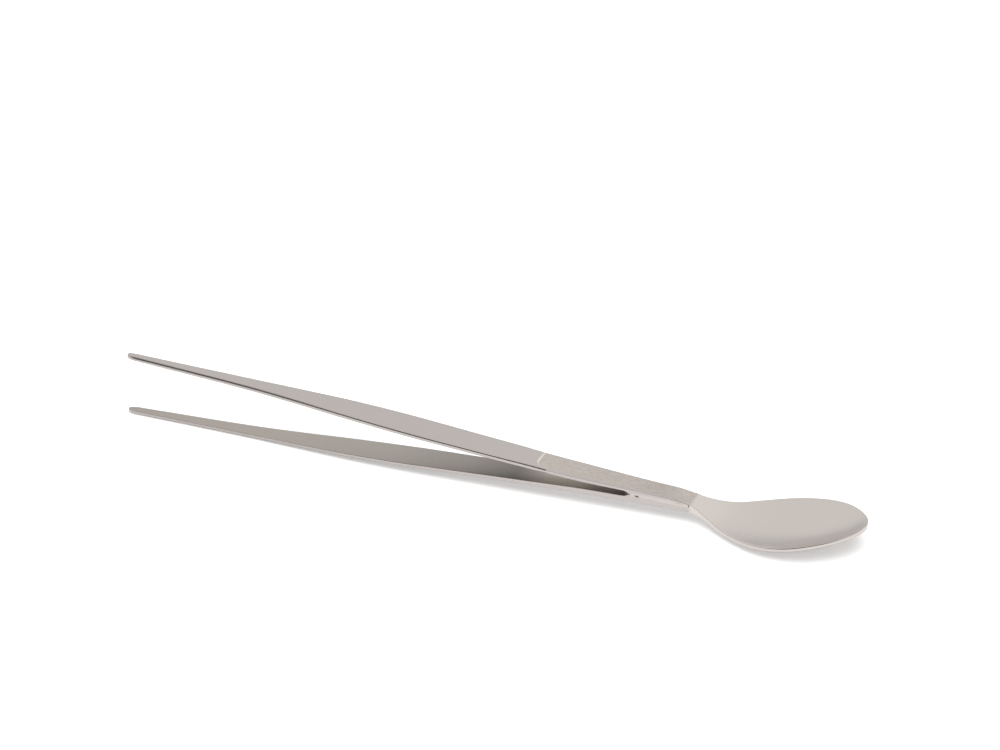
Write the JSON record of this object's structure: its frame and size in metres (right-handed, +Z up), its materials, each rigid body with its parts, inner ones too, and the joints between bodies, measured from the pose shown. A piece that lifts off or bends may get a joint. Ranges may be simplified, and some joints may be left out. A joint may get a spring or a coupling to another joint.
{
  "type": "spring tongs with spoon",
  "caption": "Long spring tongs with slender serrated jaws at one end and a shallow serving spoon at the other.",
  "frame": {"origin": "centre of the underside of the bounding box, on the surface the tongs lie on", "axes": "+X from the jaw tips to the spoon, +Z up, the jaws open along Z; Y is across the strips and the part is mirror symmetric about y = 0"},
  "size_m": [0.3046, 0.042, 0.0258],
  "materials": {
    "satin_steel": "satin, brushed along the strip",
    "ground_steel": "ground flat, slightly rough",
    "spoon_steel": "satin with a polished rim",
    "weld_steel": "ground flush"
  },
  "bodies": {
    "handle": {"upper_arm_root": "ground_steel", "lower_arm_root": "satin_steel", "seam_weld_near": "weld_steel", "seam_weld_far": "weld_steel", "neck_weld": "weld_steel", "spoon": "spoon_steel"},
    "upper_jaw": {"upper_arm": "satin_steel"},
    "lower_jaw": {"lower_arm": "satin_steel"}
  },
  "joints": [
    {"name": "upper_bend", "type": "hinge", "parent": "handle", "child": "upper_jaw", "pos_m": [0.04663, 0, 0.01005], "axis": [0, -1, 0], "range_deg": [0, 3.25], "stiffness_Nm_per_rad": 12},
    {"name": "lower_bend", "type": "hinge", "parent": "handle", "child": "lower_jaw", "pos_m": [0.04652, 0, 0.00577], "axis": [0, 1, 0], "range_deg": [0, 3.25], "stiffness_Nm_per_rad": 12}
  ],
  "couplings": [
    {"joint": "lower_bend", "follows": "upper_bend", "ratio": 1}
  ]
}
